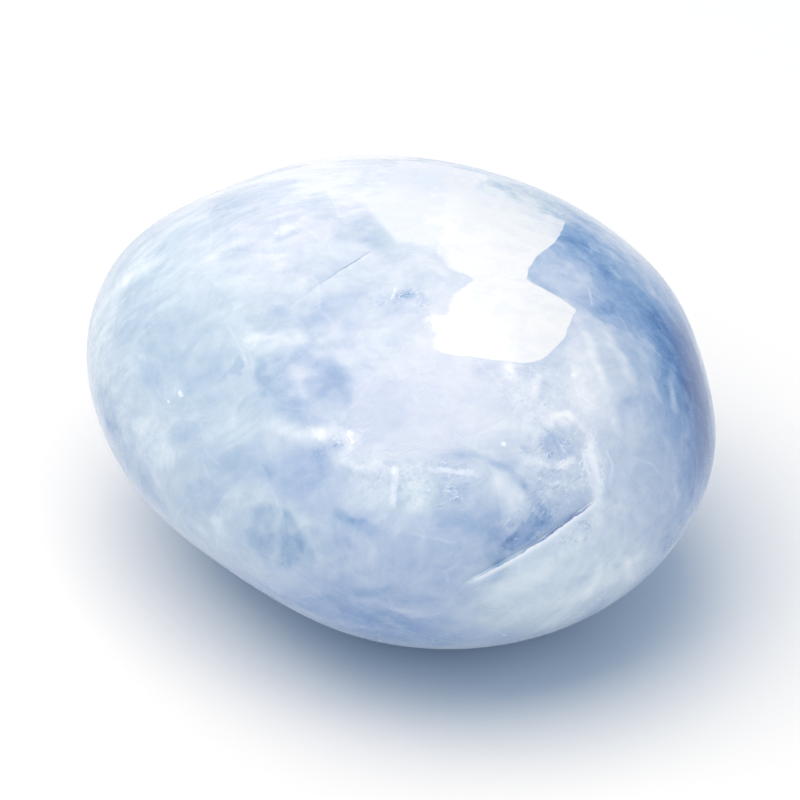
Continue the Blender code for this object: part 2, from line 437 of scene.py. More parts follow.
        (3.6, 9.6, 1.6, 1.4, 0, 1.2), (4, 12.8, 1.6, 1.4, 0, 0.9),
    ],
    "veil": [(-0.2, 21.9), (-1, 20.2), (-1.6, 18.6), (-3.1, 18), (-2.7, 16.9), (-1.4, 15.6), (-0.3, 14.2),
             (1.4, 14), (3, 13.4), (5, 14.6), (6, 18.6), (8, 20.4), (3, 22.6)],
    "plate": [(-4, -4.8), (-4.4, 1.4), (2.3, 5.7), (10, 3.2), (9, -3), (1.8, -4.8)],
    # where the blue leans to ice grey instead of lavender, as clouds
    "ice": [
        (-20.5, 2.5, 9, 13, 0, 0.9), (-14.5, -11, 6, 3.5, -32, 0.6), (13, -16.5, 7, 3.6, 25, 0.9),
        (-14, 14, 11, 6, 30, -0.3), (7.6, -14.8, 2.2, 1, 35, 0.8), (10, 19, 6, 1.4, -18, 0.8),
        (-1.4, 14.6, 1.6, 0.9, -50, 0.7), (0.5, -8.6, 4, 2, 0, 0.5), (-9, -12.5, 2, 2.6, 0, 0.5),
    ],
}

# The blunt end and the far side are hidden in the photo and are drawn in the same manner
endDrawing = {
    "azimuth": 135,
    "elevation": 12,
    "faces": (0.25, 0.6),
    "middleTone": 0.12,
    "shadeSlope": (0, -0.012),
    "clouds": [
        (-7, 3, 8, 4.5, -25, 0.15), (9, 8, 8, 4, 15, -0.35), (11, -4, 7, 5, -30, -0.25),
        (-2, -11, 10, 3, 0, 0.2), (-14, -8, 5, 4, 0, -0.25),
    ],
    "patches": [
        (-5, 4, 2.4, 1.4, -30, 0.3), (-9, -1, 1.8, 1.2, 20, 0.3), (3, 1.5, 2.2, 1, 10, 0.35),
        (6, -7, 1.6, 1, 0, 0.35), (0, -4, 2.4, 0.8, 15, -0.35), (-3, 8, 2.6, 0.7, 10, -0.35),
    ],
    "crystals": [
        ([(-11, -1), (-8, 3.5), (-3, 4.2), (-1.5, 0.5), (-4.5, -3), (-9, -3.6)], 1.4, 0.25),
        ([(4, -2), (8, -0.5), (11, -3), (9.5, -7), (5, -6.5)], 1.2, 0.28),
    ],
    "facets": [
        ([(1, 5), (5, 8.5), (9.5, 7.5), (8, 3.6), (4, 2.8)], 0.25),
        ([(-12, -6), (-7.5, -4.5), (-5, -8), (-9, -10.5)], 0.2),
    ],
    "streaks": [
        ([(-14, 8), (-8, 10.5), (-1, 11)], 0.6, -0.4),
        ([(-2, -1), (3, 0.5), (8, 2.2)], 0.5, -0.4),
        ([(2, -9), (6, -10.5), (10, -10)], 0.5, -0.35),
        ([(-9.5, 5.5), (-11.5, 1), (-11, -4)], 0.4, -0.4),
    ],
    "seams": [
        ([(-8, -0.5), (-4, 0.3), (0.5, -0.6), (4, 0.5)], 0.2, 0.28),
        ([(0.5, -0.6), (1, -3), (0, -6)], 0.14, 0.22),
    ],
    "flecks": [(-4, 0.4, 0.34), (5, 6, 0.28), (-10, 4, 0.26)],
    "busy": [(-1, -1, 4, 2.4, 0, 0.8), (7, -4, 3, 2, 0, 0.6)],
    "flash": [(8, 4), (9.5, 7), (13.5, 8.6), (16, 7.4), (13, 5.6), (10.5, 2.8)],
    "flashFades": [(13.5, 6.5, 4.5, 2.6, 30, 2.4)],
    "veil": [(-6, 12.5), (-4.6, 9.6), (0.4, 9.2), (2.6, 12), (-1, 14)],
    "plate": [(-3, -9), (-4, -5), (0.6, -3.4), (4.4, -5.4), (3.6, -9.4)],
    "ice": [],
}

backDrawing = {
    "azimuth": 225,
    "elevation": 20,
    "faces": (0, 0.4),
    "middleTone": 0.1,
    "shadeSlope": (0, -0.012),
    "clouds": [
        (12, 6, 9, 5, -20, -0.45), (-15, 4, 7, 5, 30, 0.3), (2, -6, 8, 3, 10, -0.35),
        (-4, 12, 9, 3, 5, 0.05), (20, -4, 5, 4, 60, 0.35), (-20, -7, 6, 3, -40, 0.4),
        (6, -14, 9, 3, 0, 0.3),
    ],
    "patches": [
        (-8, 4.5, 2.2, 1.4, 30, 0.5), (-5.2, 6.6, 1.2, 0.9, 0, 0.6), (8, -2, 1.8, 1.2, -20, 0.45),
        (15.5, 1.5, 1.7, 1, 40, 0.4), (-13.5, -3, 1.6, 1.1, 0, 0.35), (3, 14, 2.6, 0.7, -10, -0.45),
        (-16.5, 8.5, 1.8, 0.6, 35, -0.45), (1.5, -11.5, 2.4, 0.9, 8, 0.35),
    ],
    "crystals": [
        ([(-19.5, 2.5), (-17, 7), (-12.5, 7.6), (-10.8, 3.4), (-13.5, 0.2), (-17.8, 0)], 1.3, 0.3),
        ([(3.5, -4), (6.5, -2.2), (10.5, -3.6), (10.2, -7.2), (6.4, -8.6), (3.8, -7)], 1.2, 0.4),
    ],
    "facets": [
        ([(12.6, -8.2), (17.5, -5.8), (20.5, -8.6), (16.8, -12.2)], 0.3),
        ([(-6.4, 1.2), (-3.2, 3.6), (0.6, 4), (2.8, 1.4), (-1.8, -0.4)], 0.38),
        ([(8.6, 8), (10.8, 11.6), (15.2, 10.6), (14.4, 7), (11, 5.8)], 0.3),
    ],
    "streaks": [
        ([(-22, 8.5), (-17, 12), (-10.5, 14.4)], 0.7, -0.45),
        ([(9, 10.5), (14, 9), (18.5, 5.6)], 0.6, -0.5),
        ([(-3, -3.4), (1.2, -2), (5.6, -0.4)], 0.5, -0.5),
        ([(-9.6, -6.2), (-6.8, -9.4), (-5.2, -12.6)], 0.4, -0.4),
        ([(13.5, -13.4), (17.2, -11), (20.6, -7.4)], 0.5, 0.35),
        ([(20.5, 5.6), (22.8, 1.2), (23.2, -3)], 0.4, -0.4),
    ],
    "seams": [
        ([(-11.5, 0.5), (-7.5, 1.2), (-3.2, 0.4), (1, 1)], 0.26, 0.28),
        ([(-3.2, 0.4), (-2.6, -2.4), (-3.6, -5)], 0.16, 0.22),
        ([(10.8, -0.5), (12, -2.6), (11.4, -5.6)], 0.34, 0.32),
        ([(-16.4, -5.2), (-13, -6.4), (-10, -6)], 0.13, 0.2),
    ],
    "flecks": [
        (-2.9, 0.4, 0.42), (11.6, -1.8, 0.3), (-12.2, 9.8, 0.3), (5.4, 5, 0.26), (-7, -4.6, 0.26),
    ],
    "busy": [
        (-2.5, -0.5, 4, 2.4, 10, 1), (12, -3, 3, 3.6, 0, 1), (-13, -6, 4, 1.6, 0, 0.8),
    ],
    "flash": [
        (0.5, 4.2), (-1.6, 6), (-1.2, 8.2), (0.6, 9), (0.2, 10.8), (2.6, 11.6), (5.2, 10.4), (5.8, 8.6),
        (8.2, 8.2), (9.6, 6), (8.4, 4), (5.2, 3.4), (3.2, 4.4),
    ],
    "flashFades": [(-1, 7, 2, 3, 0, 1.2), (3, 11.4, 3, 1.4, 0, 1.2)],
    "veil": [(-8.6, 9.4), (-6.8, 12.6), (-2.2, 13), (-1, 9.6), (-3.4, 8.2)],
    "plate": [(-6, -5.6), (-7.4, -1.8), (-3, 2.6), (3, 1.8), (3.6, -3.2), (-1, -6.4)],
    "ice": [],
}

# How the drawings are laid on the skin; sizes are in millimetres
drawingHand = {
    "frays": [(5.0, 0.70), (1.9, 0.40), (0.9, 0.18)],  # size of the waves, how far they push
    "fraySeed": 1,
    "crispFray": 0.35,  # the share of it for marks with a firm edge
    "unevenSize": 2.2,
    "unevenWaves": (0.9, 2.0, 3),  # how each layer fades and shrinks, layers
    "unevenAmount": 0.9,
    "unevenRange": (0.3, 1.7),
    "levelOff": (0.7, 0.5),  # the tone from which the blue deepens less, and by how much at most
    "ovalCore": 0.35,
    "patchCore": 0.5,
    "ovalSpan": 1.9,  # core and end of an oval together, in half lengths
    "streakEdge": (0.3, 1.5),  # in half widths
    "streakEnds": 0.3,  # share of its length
    "streakTip": 0.35,
    "seamEnds": 0.12,
    "seamReach": 1.0,
    "flashEdge": 0.14,
    "crackReach": 1.4,  # in half lengths
    "crackSkin": 4.0,  # how far below its middle the skin still shows it
    "crackEnds": (1.0, 0.75),
    "crackDarkest": (0.40, 0.70),  # in half lengths: middle and spread of the dark line of painted shadow
    "rimFacing": [(0.80, 0.35), (-0.05, 0.25)],  # how far the skin faces the view
    "rimTop": (-4, 8),
    "rimTopLean": 0.4,
    "rimRight": [(4, 16), (-16, -6)],
}
millimetres = 1000.0
farOff = 9.0  # stands for a place with no mark near it


def smoothCurve(points, steps=6):
    # a Catmull-Rom curve through the points
    ends = [points[0], *points, points[-1]]
    curve = []
    for i in range(1, len(ends) - 2):
        a, b, c, d = [np.array(p) for p in ends[i - 1:i + 3]]
        for t in np.linspace(0, 1, steps, endpoint=False):
            curve.append(0.5 * (2 * b + (c - a) * t + (2 * a - 5 * b + 4 * c - d) * t ** 2
                                + (3 * b - a - 3 * c + d) * t ** 3))
    return np.array([*curve, np.array(points[-1])])


def fadeEnds(run, share):
    return soft(0, share, run) * soft(0, share, 1 - run)


def segmentDistance(place, a, b):
    along = b - a
    t = np.clip(((place - a) @ along) / (along @ along), 0, 1)
    away = place - a - t[:, None] * along
    side = along[0] * away[:, 1] - along[1] * away[:, 0]
    return np.hypot(away[:, 0], away[:, 1]), np.sign(side), t


def curveDistance(place, points):
    # distance from a smooth curve, signed by its side, and how far along the nearest point is, 0 to 1
    curve = smoothCurve(points)
    nearest, signed, run = np.full(len(place), np.inf), np.zeros(len(place)), np.zeros(len(place))
    for i, (a, b) in enumerate(zip(curve[:-1], curve[1:])):
        distance, side, t = segmentDistance(place, a, b)
        closer = distance < nearest
        nearest[closer] = distance[closer]
        signed[closer] = (distance * side)[closer]
        run[closer] = (i + t[closer]) / (len(curve) - 1)
    return signed, run


def outlineDistance(place, outline):
    # distance inside a closed outline, negative outside
    points = np.array(outline)
    nearest = np.full(len(place), np.inf)
    inside = np.zeros(len(place), bool)
    for a, b in zip(points, np.roll(points, -1, axis=0)):
        nearest = np.minimum(nearest, segmentDistance(place, a, b)[0])
        if a[1] != b[1]:
            crosses = (place[:, 1] > a[1]) != (place[:, 1] > b[1])
            inside ^= crosses & (place[:, 0] < a[0] + (place[:, 1] - a[1]) / (b[1] - a[1]) * (b[0] - a[0]))
    return np.where(inside, nearest, -nearest)


def ovalField(place, ovals, core=drawingHand["ovalCore"]):
    # each oval is full up to its core and fades beyond it
    field = np.zeros(len(place))
    for right, up, halfLength, halfWidth, tilt, amount in ovals:
        turn = math.radians(tilt)
        along = (place[:, 0] - right) * math.cos(turn) + (place[:, 1] - up) * math.sin(turn)
        across = (place[:, 1] - up) * math.cos(turn) - (place[:, 0] - right) * math.sin(turn)
        out = np.hypot(along / halfLength, across / halfWidth)
        field += amount * (1 - soft(core, drawingHand["ovalSpan"] - core, out))
    return field


def drawTone(place, uneven, drawing):
    hand = drawingHand
    marks = ovalField(place, drawing["patches"], hand["patchCore"])
    for outline, softness, depth in drawing["crystals"]:
        marks += depth * soft(-softness / 2, softness / 2, outlineDistance(place, outline))
    for points, halfWidth, depth in drawing["streaks"]:
        away, run = curveDistance(place, points)
        strength = hand["streakTip"] + (1 - hand["streakTip"]) * fadeEnds(run, hand["streakEnds"])
        marks += depth * (1 - soft(*hand["streakEdge"], np.abs(away) / halfWidth)) * strength
    # the slope and the clouds along the rims are painted shade
    ground = drawing["middleTone"] + place @ np.array(drawing["shadeSlope"]) + ovalField(place, drawing["clouds"])
    tone = ground + marks * uneven
    start, rise = hand["levelOff"]
    return np.where(tone > start, start + rise * np.tanh((tone - start) / rise), tone)


def drawFacets(place, drawing):
    # distance inside the edge of the nearest clean-cut crystal, and its tone
    inside, tone = np.full(len(place), -farOff), np.zeros(len(place))
    for outline, depth in drawing["facets"]:
        distance = outlineDistance(place, outline)
        closer = distance > inside
        inside[closer] = distance[closer]
        tone[closer] = depth
    return inside, tone


def drawSeams(place, drawing):
    # place across the nearest seam in half widths, and its strength
    nearest, across, strength = np.full(len(place), np.inf), np.full(len(place), farOff), np.zeros(len(place))
    for points, halfWidth, amount in drawing["seams"]:
        away, run = curveDistance(place, points)
        closer = np.abs(away) < nearest
        nearest[closer] = np.abs(away)[closer]
        across[closer] = away[closer] / halfWidth
        strength[closer] = (amount * fadeEnds(run, drawingHand["seamEnds"]))[closer]
    return across, strength * (nearest < drawingHand["seamReach"])


def drawFlecks(place, drawing):
    # nearest fleck, as radii inside its rim
    inside = np.full(len(place), -farOff)
    for right, up, radius in drawing["flecks"]:
        inside = np.maximum(inside, 1 - np.hypot(place[:, 0] - right, place[:, 1] - up) / radius)
    return inside


def drawCracks(points):
    # millimetres over the nearest crack, and how strongly its pale line, a painted highlight, and its dark
    # line, a painted shadow, are drawn
    count = len(points)
    across, pale, dark = np.full(count, farOff), np.zeros(count), np.zeros(count)
    darkest, spread = drawingHand["crackDarkest"]
    for crack in stoneShape["cracks"]:
        middle, trace, upward, outward = [np.array(axis) for axis in crackAxes(crack)]
        away = points - middle * millimetres
        halfLength = crack["length"] * millimetres / 2
        along = (away @ trace) / halfLength
        near = np.linalg.norm(away, axis=1) < halfLength * drawingHand["crackReach"]
        here = near & (away @ outward > -drawingHand["crackSkin"])
        ends = soft(*drawingHand["crackEnds"], np.abs(along))
        across[here] = (away @ upward)[here]
        pale[here] = (crack["pale"] * ends)[here]
        dark[here] = (crack["dark"] * ends * np.exp(-(((along - darkest) / spread) ** 2)))[here]
    return across, pale, dark


def drawRim(flat, facing):
    # where the streaks along the top and the right edge of the photo's side show
    hand = drawingHand
    rim = soft(*hand["rimFacing"][0], facing) * soft(*hand["rimFacing"][1], facing)
    top = rim * soft(*hand["rimTop"], flat[:, 1] - hand["rimTopLean"] * flat[:, 0])
    # the right one also darkens the tone along that edge: painted shade
    return top, rim * soft(*hand["rimRight"][0], flat[:, 0]) * soft(*hand["rimRight"][1], flat[:, 1])


def markStone(stone):
    hand = drawingHand
    mesh = stone.data
    count = len(mesh.vertices)
    points, normals = np.empty(count * 3), np.empty(count * 3)
    mesh.vertices.foreach_get("co", points)
    mesh.vertex_normals.foreach_get("vector", normals)
    points, normals = points.reshape(-1, 3) * millimetres, normals.reshape(-1, 3)
    sway = np.zeros((count, 2))
    noise.seed_set(hand["fraySeed"])  # noise_vector starts anew in every run without it
    for size, reach in hand["frays"]:
        sway += reach * np.array([noise.noise_vector(Vector(point) / size)[:2] for point in points])
    size, waves = hand["unevenSize"], hand["unevenWaves"]
    uneven = np.array([noise.fractal(Vector(point) / size, *waves) for point in points])
    uneven = np.clip(1 + hand["unevenAmount"] * uneven, *hand["unevenRange"])

    fields = {}
    left = np.ones(count)  # the share of each point that no drawing has taken yet
    for drawing in (frontDrawing, endDrawing, backDrawing):
        right, up, back = [np.array(axis) for axis in viewAxes(drawing["azimuth"], drawing["elevation"])]
        flat = np.stack([points @ right, points @ up], axis=1)
        flat -= (flat.min(axis=0) + flat.max(axis=0)) / 2
        facing = normals @ back
        share = soft(*drawing["faces"], facing) * left
        left = left - share
        place = flat + sway
        near = flat + sway * hand["crispFray"]
        seamAcross, seamStrength = drawSeams(near, drawing)
        facet, facetTone = drawFacets(near, drawing)
        blended = {"drawn": 1.0, "tone": drawTone(place, uneven, drawing), "seamStrength": seamStrength,
                   "facetTone": facetTone}
        blended.update({name: ovalField(place, drawing[name]) for name in ("busy", "ice")})
        edges = {name: outlineDistance(near, drawing[name]) for name in ("flash", "veil", "plate")}
        edges["flash"] /= hand["flashEdge"] + ovalField(near, drawing["flashFades"])
        edges.update({"seamAcross": seamAcross, "facet": facet, "flecks": drawFlecks(near, drawing)})
        for name, values in blended.items():
            fields[name] = fields.get(name, 0) + values * share
        for name, values in edges.items():
            blank = farOff if name == "seamAcross" else -farOff
            fields[name] = np.where(share > 0.5, values, fields.get(name, blank))
        if drawing is frontDrawing:
            fields["rimTop"], fields["rimRight"] = drawRim(flat, facing)
    fields["crackAcross"], fields["crackPale"], fields["crackDark"] = drawCracks(points)
    for name, values in fields.items():
        mesh.attributes.new(name, "FLOAT", "POINT").data.foreach_set("value", values.astype(np.float32))


# Tumbled and polished blue calcite: cloudy pale blue with milky veils, straight-edged crystals and
# healed cracks; the polish is soft and the stone glows a little, because light gets under its skin

calciteLook = {
    # each row of colours runs over this much tone
    "toneSpan": {"From Min": -1.0, "From Max": 2.0},
    "lavender": [
        (0.00, "#f3f4f7"), (0.13, "#e4e7ee"), (0.23, "#d4dae6"), (0.33, "#c5cfdf"), (0.43, "#b5c3da"),
        (0.53, "#a2b5d3"), (0.67, "#84a1c8"), (0.83, "#6485b4"), (1.00, "#486ca3"),
    ],
    "ice": [
        (0.00, "#f1f4f5"), (0.13, "#e0e9ec"), (0.23, "#d0dde4"), (0.33, "#c0cfda"), (0.43, "#b1c4d4"),
        (0.53, "#9fb6cd"), (0.67, "#83a2c3"), (0.83, "#6486b1"), (1.00, "#486da1"),
    ],
    "iceSwing": 0.9,
    "iceOffset": -0.25,
    "white": "#f4f6fb",
    # sizes of the patterns and how far they are bent and frayed, in millimetres
    "driftSize": 12.0,
    "driftReach": (5.0, 5.0, 5.0),
    "flutterSize": 2.4,
    "frayReach": (1.6, 1.6, 1.6),
    "jagReach": (0.5, 0.5, 0.5),
    "cloudSize": 8.0,
    "wispSize": (9.0, 1.5, 1.5),
    "wispTurn": (20, -35, 30),
    "rimStreakSize": (14.0, 1.1, 1.1),
    "crystalSize": 6.5,
    "lamellaSize": 0.9,
    "mottleSize": 1.8,
    "grainSize": 0.5,
    "swellSize": 3.5,
    "waveSize": (5.0, 1.5, 1.5),
    "hairlineSize": (6.0, 0.20, 0.20),
    # how far each pattern moves the tone
    "cloudAmount": {"To Min": 2.0, "To Max": 0.7},  # less where more is drawn
    "evenAmounts": {"wisp": 0.85, "tint": 0.20, "lamella": 0.22},
    "busyAmounts": {"mottle": (0.60, 0.60), "grain": (0.65, 0.10)},  # more where it is busy, everywhere
    "rimAmounts": {"rimTop": 1.2, "rimRight": 1.5},
    "rimRightShade": 0.45,
    "facetNicks": 1.2,
    "facetEdge": {"From Min": 0.48, "From Max": 0.78},
    "wavyLines": {"pale": (0.500, 0.60), "deep": (0.470, 0.50)},  # height of the wave, strength
    "wavyWidth": 0.022,
    "wavyPatches": {"From Min": 0.40, "From Max": 0.60},
    "milkThickness": {"From Min": 0.35, "From Max": 0.55, "To Min": 0.78},
    "milkAndReflection": [  # softness and raggedness of the edge, cover, colour
        ("plate", 1.2, 3.0, 0.32, "#d2d6e4"),
        ("veil", 0.7, 1.4, 0.82, "#e9ebf2"),
        # a painted reflection of cleavage faces and of the lamp
        ("flash", 1.0, 3.0, 0.96, "#ededed"),
    ],
    # a crack from its lower to its upper side: a pale line, the painted highlight on the lip of the step,
    # then a dark line and a blue fringe, the painted shadow in the groove above it
    "crackWander": 0.4,
    "crackSpan": {"From Min": -0.8, "From Max": 2.2},
    "crackPale": [(0.00, "#e9eef4", 0.0), (0.14, "#e9eef4", 0.30), (0.22, "#fbfcfe", 0.60),
                  (0.30, "#fbfcfe", 0.95), (0.335, "#fbfcfe", 0.0)],
    "crackDark": [(0.30, "#5f7fb0", 0.0), (0.335, "#41629a", 1.0), (0.370, "#557ba6", 0.50),
                  (0.42, "#7d9fcf", 0.22), (1.00, "#8cabd8", 0.0)],
    "seamWander": 3.0,
    "seamEdge": {"From Min": 0.2, "From Max": 2.0, "To Min": 1.0, "To Max": 0.0},
    "seamBreaks": {"From Min": 0.38, "From Max": 0.58, "To Min": 0.3},
    "fleckNicks": 2.0,
    "fleckEdge": {"From Min": 0.9, "From Max": 1.7, "To Max": 0.9},
    "borderEdge": {"From Max": 0.04, "To Min": 1.0, "To Max": 0.0},
    "borderWisps": {"From Min": 0.50, "From Max": 0.62, "To Max": 0.12},
    "scratchEdge": {"From Min": 0.60, "From Max": 0.74},
    "scratchCover": (0.14, 0.05),  # more where it is busy, everywhere
    # the polish
    "roughness": 0.16,
    "mottleRoughness": 0.16,
    "scratchRoughness": 0.06,
    "scratchHeight": -0.03,
    "grainHeight": 0.03,
    "bumpHeight": 0.00006,
    "skin": {"IOR": 1.6, "Subsurface Weight": 0.35, "Subsurface Radius": (0.8, 1.0, 1.4),
             "Subsurface Scale": 0.0015},
}


def streakTurn(tilt):
    # a turn that lays the X axis of a pattern along a line tilted in the photo's picture plane
    right, up, back = viewAxes(photoView["azimuth"], photoView["elevation"])
    lean = math.radians(tilt)
    along = right * math.cos(lean) + up * math.sin(lean)
    return Matrix((along, back.cross(along), back)).transposed().to_euler()


def layPatterns(tree):
    # each pattern runs from 0 to 1 about a middle of 0.5
    look = calciteLook
    place = addNode(tree, "TexCoord", {}, {}, "Object")
    place = addNode(tree, "VectorMath", {"operation": "SCALE"}, {0: place, "Scale": millimetres})
    links = {"Vector": place, "Scale": 1 / look["driftSize"], "Detail": 1.0}
    drift = addNode(tree, "TexNoise", {}, links, "Color")
    bent = addNode(tree, "VectorMath", multiplyAdd, {0: drift, 1: look["driftReach"], 2: place})
    links = {"Vector": bent, "Scale": 1 / look["flutterSize"], "Detail": 3.0}
    flutter = addNode(tree, "TexNoise", {}, links, "Color")
    frayed = addNode(tree, "VectorMath", multiplyAdd, {0: flutter, 1: look["frayReach"], 2: bent})
    jagged = addNode(tree, "VectorMath", multiplyAdd, {0: flutter, 1: look["jagReach"], 2: bent})

    pattern = {}
    for name, start, detail, roughness in (
        ("cloud", frayed, 6.0, 0.62),
        ("mottle", frayed, 4.0, 0.62),
        ("grain", place, 3.0, 0.65),
        ("swell", place, 2.0, 0.5),
    ):
        links = {"Vector": start, "Scale": 1 / look[name + "Size"], "Detail": detail, "Roughness": roughness}
        pattern[name] = addNode(tree, "TexNoise", {}, links)
    for name, turn, size, start in (
        ("wisp", [math.radians(angle) for angle in look["wispTurn"]], look["wispSize"], frayed),
        ("rimTop", streakTurn(22), look["rimStreakSize"], jagged),
        ("rimRight", streakTurn(-64), look["rimStreakSize"], jagged),
        ("hairline", streakTurn(35), look["hairlineSize"], bent),
        ("crossHairline", streakTurn(-28), look["hairlineSize"], bent),
        ("wave", streakTurn(30), look["waveSize"], jagged),
    ):
        links = {"Vector": start, "Rotation": turn, "Scale": size}
        laid = addNode(tree, "Mapping", {"vector_type": "TEXTURE"}, links)
        links = {"Vector": laid, "Scale": 1.0, "Detail": 4.0, "Roughness": 0.6}
        pattern[name] = addNode(tree, "TexNoise", {}, links)

    # crystals: cells with a tint of their own, each crossed by thin lamellae in its own direction
    cells = {"Vector": jagged, "Scale": 1 / look["crystalSize"]}
    cell = addNode(tree, "TexVoronoi", {}, cells, "Color")
    pattern["tint"] = addNode(tree, "SeparateXYZ", {}, {0: cell}, "X")
    pattern["border"] = addNode(tree, "TexVoronoi", {"feature": "DISTANCE_TO_EDGE"}, cells)
    lean = addNode(tree, "VectorMath", {"operation": "SUBTRACT"}, {0: cell, 1: (0.5, 0.5, 0.5)})
    lean = addNode(tree, "VectorMath", {"operation": "NORMALIZE"}, {0: lean})
    depth = addNode(tree, "VectorMath", {"operation": "DOT_PRODUCT"}, {0: lean, 1: jagged}, "Value")
    links = {"W": depth, "Scale": 1 / look["lamellaSize"], "Detail": 3.0, "Roughness": 0.6}
    pattern["lamella"] = addNode(tree, "TexNoise", {"noise_dimensions": "1D"}, links)

    # fine scratches left by the tumbling grit, drawn coarser than they are so that they show
    scratches = {}
    for i, name in enumerate(("hairline", "crossHairline")):
        scratches[i] = addNode(tree, "MapRange", smooth, {"Value": pattern[name], **look["scratchEdge"]})
    pattern["scratch"] = addNode(tree, "Math", {"operation": "MAXIMUM"}, scratches)
    return pattern


def drawWavyLines(tree, drawn, pattern):
    # where the skin is busy: thin wavy lines, each pale with a blue one beside it
    look = calciteLook
    patchy = addNode(tree, "MapRange", {}, {"Value": pattern["mottle"], **look["wavyPatches"]})
    lines = {}
    for name, (middle, strength) in look["wavyLines"].items():
        away = addNode(tree, "Math", {"operation": "SUBTRACT"}, {0: pattern["wave"], 1: middle})
        away = addNode(tree, "Math", {"operation": "ABSOLUTE"}, {0: away})
        links = {"Value": away, "From Max": look["wavyWidth"], "To Min": strength, "To Max": 0.0}
        line = addNode(tree, "MapRange", smooth, links)
        line = addNode(tree, "Math", multiply, {0: line, 1: patchy})
        lines[name] = addNode(tree, "Math", {**multiply, "use_clamp": True}, {0: line, 1: drawn["busy"]})
    return lines


def deepenBlue(tree, drawn, pattern):
    # the drawing, with every pattern added about its middle
    look = calciteLook
    amounts = dict(look["evenAmounts"])
    amounts["cloud"] = addNode(tree, "MapRange", {}, {"Value": drawn["drawn"], **look["cloudAmount"]})
    for name, (more, everywhere) in look["busyAmounts"].items():
        amounts[name] = addNode(tree, "Math", multiplyAdd, {0: drawn["busy"], 1: more, 2: everywhere})
    for name, amount in look["rimAmounts"].items():
        amounts[name] = addNode(tree, "Math", multiply, {0: drawn[name], 1: amount})
    tone = drawn["tone"]
    for name, amount in amounts.items():
        swing = addNode(tree, "Math", {"operation": "SUBTRACT"}, {0: pattern[name], 1: 0.5})
        tone = addNode(tree, "Math", multiplyAdd, {0: swing, 1: amount, 2: tone})
    # painted shade along the right edge
    tone = addNode(tree, "Math", multiplyAdd, {0: drawn["rimRight"], 1: look["rimRightShade"], 2: tone})
    links = {0: pattern["mottle"], 1: look["facetNicks"], 2: drawn["facet"]}
    facet = addNode(tree, "Math", multiplyAdd, links)
    facet = addNode(tree, "MapRange", smooth, {"Value": facet, **look["facetEdge"]})
    return addNode(tree, "Math", multiplyAdd, {0: facet, 1: drawn["facetTone"], 2: tone})


def tintBlue(tree, drawn, pattern, tone):
    look = calciteLook
    level = addNode(tree, "MapRange", {}, {"Value": tone, **look["toneSpan"]})
    links = {0: pattern["cloud"], 1: look["iceSwing"], 2: drawn["ice"]}
    hue = addNode(tree, "Math", {**multiplyAdd, "use_clamp": True}, links)
    hue = addNode(tree, "Math", {"operation": "ADD", "use_clamp": True}, {0: hue, 1: look["iceOffset"]})
    lavender = addNode(tree, "ValToRGB", {"stops": look["lavender"]}, {"Fac": level})
    ice = addNode(tree, "ValToRGB", {"stops": look["ice"]}, {"Fac": level})
    return addNode(tree, "Mix", colours, {0: hue, 6: lavender, 7: ice}, 2)


def layMilk(tree, drawn, pattern, colour):
    # milky overlays of uneven thickness: the pale plate and the veil, and the white flash, which is a painted
    # reflection
    look = calciteLook
    thickness = addNode(tree, "MapRange", {}, {"Value": pattern["wisp"], **look["milkThickness"]})
    for name, softness, ragged, amount, code in look["milkAndReflection"]:
        edge = addNode(tree, "Math", multiplyAdd, {0: pattern["mottle"], 1: ragged, 2: drawn[name]})
        edge = addNode(tree, "Math", {"operation": "SUBTRACT"}, {0: edge, 1: ragged / 2})
        links = {"Value": edge, "From Min": -softness / 2, "From Max": softness / 2, "To Max": amount}
        cover = addNode(tree, "MapRange", smooth, links)
        cover = addNode(tree, "Math", multiply, {0: cover, 1: thickness})
        colour = addNode(tree, "Mix", colours, {0: cover, 6: colour, 7: linearColour(code)}, 2)
    return colour


def inkCracks(tree, drawn, pattern, colour):
    look = calciteLook
    links = {0: pattern["mottle"], 1: look["crackWander"], 2: drawn["crackAcross"]}
    wander = addNode(tree, "Math", multiplyAdd, links)
    across = addNode(tree, "MapRange", {}, {"Value": wander, **look["crackSpan"]})
    # the painted highlight on the lip, then the painted shadow in the groove
    for name in ("crackPale", "crackDark"):
        ink = addNode(tree, "ValToRGB", {"stops": look[name]}, {"Fac": across})
        cover = addNode(tree, "Math", multiply, {0: ink.node.outputs["Alpha"], 1: drawn[name]})
        colour = addNode(tree, "Mix", colours, {0: cover, 6: colour, 7: ink}, 2)
    return colour


